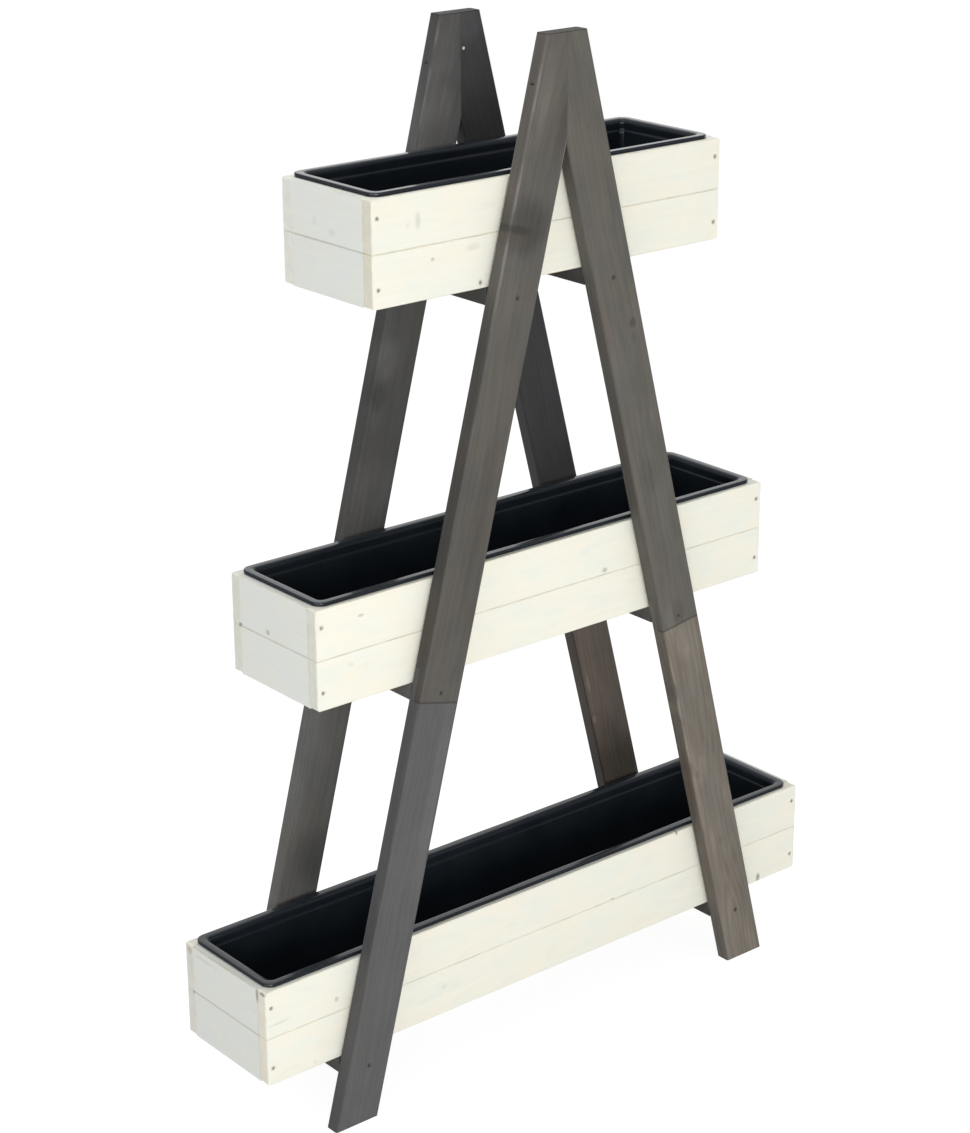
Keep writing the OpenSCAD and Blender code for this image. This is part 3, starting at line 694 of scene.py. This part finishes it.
# %% Write down the section
WALL, RIM_H, COLLAR_IN, LEDGE_W, TAPER = 2.0, 5.6, 13.5, 2.5, 8.0
COLLAR_H, LINER_DEPTH = 12.0, 119.0
BODY_IN, FOOT_IN = COLLAR_IN + LEDGE_W, COLLAR_IN + LEDGE_W + TAPER
SECTION = [
    (FOOT_IN + 22, -LINER_DEPTH, 3), (FOOT_IN + 6, -LINER_DEPTH, 8),
    (FOOT_IN + 1.6, -LINER_DEPTH + 1.4, 11), (FOOT_IN, -LINER_DEPTH + 6, 12),
    (BODY_IN + 0.2, -COLLAR_H - 4, 9), (BODY_IN, -COLLAR_H - 1.2, 9), (BODY_IN - 0.5, -COLLAR_H - 0.5, 9),
    (COLLAR_IN + 0.3, -COLLAR_H, 9), (COLLAR_IN, -COLLAR_H + 0.8, 9), (COLLAR_IN, RIM_H - 4.4, 9),
    (COLLAR_IN - 1.6, RIM_H - WALL - 0.5, 10), (COLLAR_IN - 4, RIM_H - WALL, 11),
    (3.6, RIM_H - WALL, 13), (WALL, RIM_H - 3.4, 14), (WALL, 0, 14),
    (0.7, 0, 15), (0.7, 1.5, 15), (0.25, 2.0, 16), (0.0, 2.7, 16), (0.0, 4.0, 16), (0.25, 4.8, 16),
    (0.8, 5.3, 15), (1.6, RIM_H - 0.05, 15), (3.0, RIM_H, 14), (5.5, RIM_H, 13), (7.8, RIM_H, 11),
    (COLLAR_IN - 4.2, RIM_H - 0.25, 10), (COLLAR_IN - 1.8, RIM_H - 1.0, 9.4),
    (COLLAR_IN + 0.3, RIM_H - 2.4, 8), (COLLAR_IN + 1.6, RIM_H - 4.6, 7),
    (COLLAR_IN + WALL, 0, 7), (COLLAR_IN + WALL, -COLLAR_H + 2.6, 7),
    (COLLAR_IN + WALL + 0.2, -COLLAR_H + 2.1, 7), (BODY_IN + WALL - 0.3, -COLLAR_H + 1.5, 7),
    (BODY_IN + WALL, -COLLAR_H + 1.0, 7), (BODY_IN + WALL + 0.2, -COLLAR_H - 2, 7),
    (FOOT_IN + WALL, -LINER_DEPTH + WALL + 7, 10), (FOOT_IN + WALL + 1.4, -LINER_DEPTH + WALL + 2, 10),
    (FOOT_IN + WALL + 6, -LINER_DEPTH + WALL, 8), (FOOT_IN + WALL + 20, -LINER_DEPTH + WALL, 4)]


# %% Loft the liners
def waviness(x, height, half_x, phase):
    """How far a point of a long side is pushed inwards, and the rim up, in millimetres."""
    middle = max(0.0, 1 - (x / half_x) ** 2)
    rim = 0.35 * math.sin(x / 61 + phase) + 0.25 * math.sin(x / 23 + 2 * phase)
    if height > 0.5:
        return middle * (0.5 + rim), middle * 0.18 * (1 + math.sin(x / 47 + phase))
    body = min(1.0, max(0.0, -(height + COLLAR_H) / 60))
    return middle * (0.4 * (1 - body) + 2.4 * body * (1 - 0.5 * body)), 0.0


def mesh_piece(name, vertices, faces):
    mesh = bpy.data.meshes.new(name)
    mesh.from_pydata(vertices, [], faces)
    made = bmesh.new()
    made.from_mesh(mesh)
    bmesh.ops.recalc_face_normals(made, faces=made.faces)
    made.to_mesh(mesh)
    made.free()
    mesh.shade_smooth()
    return new_object(name, mesh)


def floor_quads(vertices, start):
    """Quads that close the ring from start, in rows from one long side to the other."""
    columns, rows = LONG_STEPS + 2 * CORNER_STEPS, SHORT_STEPS
    ring, far = 2 * (columns + rows), start + 2 * columns + rows
    grid = []
    for i in range(columns + 1):
        if i in (0, columns):
            between = [start + (columns + j if i else ring - j) for j in range(1, rows)]
        else:
            between = [len(vertices) + j for j in range(rows - 1)]
            vertices += [vertices[start + i].lerp(vertices[far - i], j / rows) for j in range(1, rows)]
        grid.append([start + i, *between, far - i])
    return [[grid[i][j], grid[i + 1][j], grid[i + 1][j + 1], grid[i][j + 1]]
            for i in range(columns) for j in range(rows)]


def build_liner(tier, phase):
    low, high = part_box(f"{tier}_liner")
    centre_x = (low.x + high.x) / 2 / MM
    half_x, half_y = (high.x - low.x) / 2 / MM, (high.y - low.y) / 2 / MM
    board_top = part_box(f"{tier}_front_upper_board")[1].z / MM
    vertices = []
    for inset, height, radius in SECTION:
        for p in soft_rectangle(half_x - inset, half_y - inset, radius):
            push, lift = waviness(p.x, height, half_x, phase * (1 if p.y < 0 else 1.7))
            y = p.y - math.copysign(push, p.y) * (abs(p.y) / (half_y - inset)) ** 6
            vertices.append(Vector((centre_x + p.x, y, board_top + min(height + lift, RIM_H))) * MM)
    n, last = len(vertices) // len(SECTION), len(SECTION) - 1
    faces = [[k * n + i, k * n + (i + 1) % n, (k + 1) * n + (i + 1) % n, (k + 1) * n + i]
             for k in range(last) for i in range(n)]
    faces += floor_quads(vertices, 0) + floor_quads(vertices, last * n)
    piece = mesh_piece(f"{tier}_liner_shell", vertices, faces)
    round_off = piece.modifiers.new("round the section", "SUBSURF")
    round_off.levels = round_off.render_levels = 1
    return piece


liners = {tier: build_liner(tier, 1.3 + 2.1 * i) for i, tier in enumerate(TIERS)}
print("liner quads before rounding:", {t: len(p.data.polygons) for t, p in liners.items()})

# %% [markdown]
# The plastic is black with a little blue in it, and half glossy. Drawn plastic
# keeps a fine orange-peel texture, and its gloss varies from place to place.
# Its rim picked up dust and fine rubs, and has a painted sheen as well: its
# up-facing faces are painted greyer and bluer, which is why it looks greyer than
# the tub. Its level top and its round corners are the glossiest: a clear coat
# there gives the pale line along the rim and the bright streak in each corner.


# %% Mould the plastic
RIM_GLOSS = {"bottom": 0.65, "middle": 0.8, "top": 0.95}
BLACK, LESS_BLACK, DUST_AND_SHEEN = (0.0122, 0.0165, 0.0222, 1), (0.0175, 0.0226, 0.029, 1), (0.021, 0.028, 0.037, 1)


def liner_plastic(tier, rim_top):
    f = Finish(f"{tier}_liner_plastic")
    point = f.object_point()
    cloud = f.noise(point, (14, 14, 14), detail=4.0)
    rubs = f.noise(point, (30, 400, 400), (3, 3, 3), detail=3.0, roughness=0.6)
    nx, ny, up_facing = f.split(f.node("ShaderNodeNewGeometry").outputs["Normal"])
    colour = f.mix(f.step(cloud, 0.3, 0.7), BLACK, LESS_BLACK)
    # up-facing faces are painted greyer and bluer: dust, and a painted sheen
    dust_and_sheen = f.times(f.step(up_facing, 0.2, 0.9), f.step(rubs, 0.35, 0.75), 0.45)
    colour = f.mix(dust_and_sheen, colour, DUST_AND_SHEEN)
    near_rim = f.step(f.split(point)[2], rim_top - 30 * MM, rim_top - 25 * MM)
    level_top = f.step(up_facing, 0.90, 0.985)
    polish = f.times(level_top, f.step(rubs, 0.2, 0.5, 0.7, 1.0), near_rim, RIM_GLOSS[tier])
    upright = f.step(f.math("ABSOLUTE", up_facing), 0.35, 0.6, 1.0, 0.0)
    corner = f.times(f.step(f.math("ABSOLUTE", f.times(nx, ny)), 0.25, 0.45), upright)
    f.set(base_color=colour, roughness=f.line(cloud, 0.12, 0.26), specular_ior_level=0.12,
          coat_weight=f.most(polish, corner), coat_roughness=0.12, coat_ior=1.5)
    f.bump(f.noise(point, (700, 700, 700), detail=1.0), 0.06, 0.3 * MM)
    return f.material


for tier, piece in liners.items():
    piece.data.materials.append(liner_plastic(tier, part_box(f"{tier}_liner")[1].z))
    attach(piece, f"{tier}_liner_body")
    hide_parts(f"{tier}_liner")
print("liners dressed:", sorted(liners))

# %% [markdown]
# ## Screws and nails
# A countersunk screw has a flat head with a recess, a cone under it, and a
# thread. A nail has a thin round head that the hammer left a little dished.
# Both are round, so both are made of rings of points: the radius and the depth
# change from ring to ring, a cross is pressed into the screw's first rings, and
# the thread is a ripple that turns as it goes down. One mesh per fastener is
# copied to every place where the CAD model has one.

# %% Turn the fasteners
AROUND = 24
SCREW_HEAD_R, SCREW_R, SCREW_HEAD_H, THREAD_PITCH, THREAD_STEPS = 4.0, 2.0, 3.0, 2.8, 5
NAIL_HEAD_R, NAIL_R = 2.3, 1.1
BEARER_SCREW_L, BOX_SCREW_L, MITRE_SCREW_L, APEX_NAIL_L, BOX_NAIL_L = 50, 50, 80, 18, 40
TURN_OF_EACH, SHARP_FROM = 0.9, math.radians(40)


def ring_mesh(rings):
    """Vertices and faces through rings of (radius, height), each a function of the angle."""
    vertices, faces = [Vector((0, 0, rings[0](0)[1]))], []
    for ring in rings:
        for k in range(AROUND):
            a = 2 * math.pi * k / AROUND
            radius, height = ring(a)
            vertices.append(Vector((radius * math.cos(a), radius * math.sin(a), height)))
    at = lambda r, k: 1 + r * AROUND + k % AROUND
    faces += [[0, at(0, k), at(0, k + 1)] for k in range(AROUND)]
    faces += [[at(r, k), at(r + 1, k), at(r + 1, k + 1), at(r, k + 1)]
              for r in range(len(rings) - 1) for k in range(AROUND)]
    tip = len(vertices)
    vertices.append(Vector((0, 0, rings[-1](0)[1] - 0.2)))
    faces += [[tip, at(len(rings) - 1, k + 1), at(len(rings) - 1, k)] for k in range(AROUND)]
    return vertices, faces


def screw_rings(length):
    def cross(r):
        def ring(a):
            arm = abs(math.cos(2 * a)) ** 3
            reach = 0.7 + 1.5 * arm
            return r, -0.2 - 1.5 * max(0.0, min(1.0, (reach - r) / 0.35))
        return ring
    rings = [cross(r) for r in (0.3, 0.6, 0.9, 1.2, 1.5, 1.8, 2.1, 2.4)]
    rings += [lambda a, r=r, z=z: (r, z) for r, z in
              ((3.5, -0.12), (SCREW_HEAD_R - 0.1, -0.12), (SCREW_HEAD_R, -0.25),
               (SCREW_R + 0.1, -SCREW_HEAD_H), (1.6, -5))]
    for k in range(int((length - 9) / THREAD_PITCH * THREAD_STEPS)):
        z = -7 - k * THREAD_PITCH / THREAD_STEPS
        turn = 2 * math.pi * z / THREAD_PITCH
        rings.append(lambda a, z=z, turn=turn: (1.45 + 0.5 * max(0.0, math.cos(a + turn)) ** 3, z))
    return rings + [lambda a: (0.4, -length + 0.3)]


def nail_rings(length):
    return [lambda a, r=r, z=z: (r, z) for r, z in
            ((0.8, -0.42), (1.5, -0.32), (2.0, -0.2), (NAIL_HEAD_R - 0.08, -0.16), (NAIL_HEAD_R, -0.3),
             (NAIL_HEAD_R - 0.05, -0.85), (NAIL_R, -1.0), (NAIL_R, -length + 3), (0.3, -length + 0.3))]


# %% Drive them in where the CAD model has them
TOWARDS = {"front": Matrix.Rotation(math.pi / 2, 3, "X"), "rear": Matrix.Rotation(-math.pi / 2, 3, "X"),
           "below": Matrix.Rotation(math.pi, 3, "X"), "left": Matrix.Rotation(-math.pi / 2, 3, "Y"),
           "right": Matrix.Rotation(math.pi / 2, 3, "Y")}


def bearer_spots():
    return {(tier, side): node_middle(f"{tier}_{side}_bearer") for tier in TIERS for side in SIDES}


def bearer_screw_spots():
    for (tier, side), (middle, _) in bearer_spots().items():
        for face, sign in FACES.items():
            yield Vector((middle.x, sign * LEG_OUT_Y, middle.z - BEARER_SCREW_DROP)), TOWARDS[face]


def box_screw_spots():
    for (tier, side), (middle, half) in bearer_spots().items():
        slat_x = abs(node_middle(f"{tier}_{side}_slat")[0].x)
        off = -BOX_SCREW_OFF if slat_x > abs(middle.x) else BOX_SCREW_OFF
        x, y = SIDES[side] * (abs(middle.x) + off), node_middle(f"{tier}_rear_lower_board")[0].y
        for sign in FACES.values():
            yield Vector((x, sign * y, middle.z - half.z)), TOWARDS["below"]


def mitre_screw_spots():
    for side, drop in MITRE_SCREW_DROP.items():
        z = STAND_H - drop
        x = outer_x(z) - SCREW_HEAD_R * MM * math.tan(LEAN)
        for sign in FACES.values():
            yield Vector((SIDES[side] * x, sign * LEG_MID_Y, z)), TOWARDS[side]


def apex_nail_spots():
    low_x = LEG_FACE_W - outer_x(APEX_NAIL_LOW) - APEX_NAIL_EDGE
    for face, sign in FACES.items():
        inwards = TOWARDS["rear" if face == "front" else "front"]
        yield Vector((APEX_NAIL_EDGE, sign * LEG_IN_Y, APEX_NAIL_HIGH)), inwards
        yield Vector((low_x, sign * LEG_IN_Y, APEX_NAIL_LOW)), inwards


def box_nail_spots(tier):
    low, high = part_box(f"{tier}_front_lower_board")
    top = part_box(f"{tier}_front_upper_board")[1].z
    corner_x, slat_x = high.x - BOARD_T / 2, node_middle(f"{tier}_right_slat")[0].x
    for face, sign in FACES.items():
        for side in SIDES.values():
            for x, z in ((corner_x, low.z + CORNER_NAIL_UP), (corner_x, top - CORNER_NAIL_UP),
                         (slat_x, low.z + SLAT_NAIL_UP)):
                yield Vector((side * x, sign * abs(low.y), z)), TOWARDS[face]


def fasteners(node, rings, places, material):
    """One piece that stands for all the fasteners of a CAD node."""
    shape, quads = ring_mesh(rings)
    vertices, faces = [], []
    for k, (at, turn) in enumerate(places):
        own_turn = turn @ Matrix.Rotation(TURN_OF_EACH * k, 3, "Z")
        start = len(vertices)
        vertices += [at + own_turn @ (v * MM) for v in shape]
        faces += [[start + i for i in quad] for quad in quads]
    piece = mesh_piece("turned_" + node, vertices, faces)
    piece.data.set_sharp_from_angle(angle=SHARP_FROM)
    piece.data.materials.append(material)
    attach(piece, "stand")
    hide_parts(node)
    return piece


# %% [markdown]
# The screws are dark with a little wear on the head, and the cross in the head is
# painted nearly black, as painted shade in its deep recess. The nails in the frames
# stayed bright, and those in the boxes are dull with a little rust. Where the bottom
# box's left slat is nailed, paint covers the head.


# %% Finish the metal and place the fasteners
def metal(name, first, second, share, rough, shine=0.4, recess=None, painted=None):
    f = Finish(name)
    cloud = f.noise(f.object_point(), (420, 420, 420), detail=3.0)
    colour = f.mix(f.step(cloud, 0.42 - share / 4, 0.62 - share / 4), first, second)
    # painted shade: what lies deeper than the legs' outer faces, such as the cross recess, is painted near black
    if recess:
        from_middle = f.math("ABSOLUTE", f.split(f.object_point())[1])
        recess_shade_mask = f.step(from_middle, LEG_OUT_Y - 1.1 * MM, LEG_OUT_Y - 0.5 * MM, 1.0, 0.0)
        colour = f.mix(recess_shade_mask, colour, recess)
    if painted:
        x, _, z = f.split(f.object_point())
        inside = [share for v, (low, high) in zip((x, z), painted)
                  for share in (f.step(v, low, low + MM), f.step(v, high - MM, high, 1.0, 0.0))]
        colour = f.mix(f.times(*inside, 0.85), colour, WARM_PAINT)
    f.set(base_color=colour, metallic=shine, roughness=f.line(cloud, 0.3, rough))
    f.bump(f.noise(f.object_point(), (1500, 1500, 1500), detail=1.0), 0.2, 0.1 * MM)
    return f.material


PAINTED_NAILS = ((-0.46, -0.38), (0.09, 0.115))
black_metal = metal("black_screw", chip(70, 68, 66), chip(86, 83, 79), 0.3, 0.5, recess=chip(28, 27, 27))
mitre_metal = metal("mitre_screw", chip(62, 61, 60), chip(80, 78, 75), 0.3, 0.5)
bright_metal = metal("bright_nail", chip(235, 235, 232), chip(190, 187, 180), 0.2, 0.2)
rusty_metal = metal("rusty_nail", chip(190, 188, 174), chip(158, 152, 136), 0.5, 0.5, shine=0.2,
                    painted=PAINTED_NAILS)
made = [
    fasteners("bearer_screws", screw_rings(BEARER_SCREW_L), bearer_screw_spots(), black_metal),
    fasteners("box_screws", screw_rings(BOX_SCREW_L), box_screw_spots(), black_metal),
    fasteners("mitre_screws", screw_rings(MITRE_SCREW_L), mitre_screw_spots(), mitre_metal),
    fasteners("apex_nails", nail_rings(APEX_NAIL_L), apex_nail_spots(), bright_metal)]
made += [fasteners(f"{tier}_box_nails", nail_rings(BOX_NAIL_L), box_nail_spots(tier), rusty_metal) for tier in TIERS]
for piece in made:
    name = piece.name.replace("turned_", "")
    mine, cad = [Vector(c) for c in piece.bound_box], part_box(name)
    print(name, "faces", len(piece.data.polygons), "off by mm",
          round(max((mine[0] - cad[0]).length, (mine[6] - cad[1]).length) / MM, 2))

# %% [markdown]
# ## The studio
# The photograph was taken on white, with soft light that is strongest on the
# front and a little weaker on the ends. A plain pale floor takes the stand's
# shadow. To the camera, and in reflections, the floor and the background are
# white, and that white adds no light to the stand.


# %% Lay the floor and set the sky
FLOOR_REACH, FLOOR_GLOW, FLOOR_LIFT, SKY_LIGHT, WHITE = 30, 0.72, 0.2, 0.4, (1, 1, 1, 1)


def studio_floor():
    mesh = bpy.data.meshes.new("floor")
    corners = [(x * FLOOR_REACH, y * FLOOR_REACH, 0) for x, y in ((-1, -1), (1, -1), (1, 1), (-1, 1))]
    mesh.from_pydata(corners, [], [(0, 1, 2, 3)])
    floor = new_object("floor", mesh)
    f = Finish("pale_floor")
    f.set(base_color=(0.86, 0.86, 0.85, 1), roughness=0.9, specular_ior_level=0.0)
    seen = f.seen_directly()
    glow = f.node("ShaderNodeEmission", {"Color": WHITE}).outputs[0]
    blended = {0: f.times(seen, FLOOR_GLOW), 1: f.shader.outputs[0], 2: glow}
    blend = f.node("ShaderNodeMixShader", blended).outputs[0]
    lift = f.node("ShaderNodeEmission", {"Strength": f.times(seen, FLOOR_LIFT)}).outputs[0]
    f.feed(f.out.inputs["Surface"], f.node("ShaderNodeAddShader", {0: blend, 1: lift}).outputs[0])
    mesh.materials.append(f.material)


def studio_sky():
    bpy.context.scene.world = bpy.data.worlds.new("studio")
    graph = Graph(bpy.context.scene.world)
    strength = graph.node("ShaderNodeMapRange", {
        "Value": graph.seen_directly(), "To Min": SKY_LIGHT, "To Max": 1.0}).outputs[0]
    sky = graph.node("ShaderNodeBackground", {"Color": WHITE, "Strength": strength}).outputs[0]
    graph.node("ShaderNodeOutputWorld", {"Surface": sky})


studio_floor()
studio_sky()
print("floor and sky are in place")


# %% Hang the lamps
def softbox(name, at, aim, width, height, power, colour=(1, 1, 1)):
    lamp = new_object(name, bpy.data.lights.new(name, "AREA"))
    lamp.data.shape, lamp.data.size, lamp.data.size_y = "RECTANGLE", width, height
    lamp.data.energy, lamp.data.color = power, colour
    lamp.location = at
    lamp.rotation_euler = (Vector(aim) - Vector(at)).to_track_quat("-Z", "Y").to_euler()


CENTRE = (0, 0, 0.75)
softbox("front", (0.5, -4.5, 1.2), CENTRE, 2.4, 2.4, 37, (0.985, 1.0, 0.965))
softbox("front left", (-2.4, -3.4, 0.9), CENTRE, 1.6, 1.6, 56, (1.0, 0.985, 0.955))
softbox("left", (-3.6, -1.0, 2.8), CENTRE, 1.6, 2.0, 18, (0.94, 0.975, 1.0))
softbox("overhead", (0.2, 0.6, 4.2), CENTRE, 2.6, 1.6, 42)
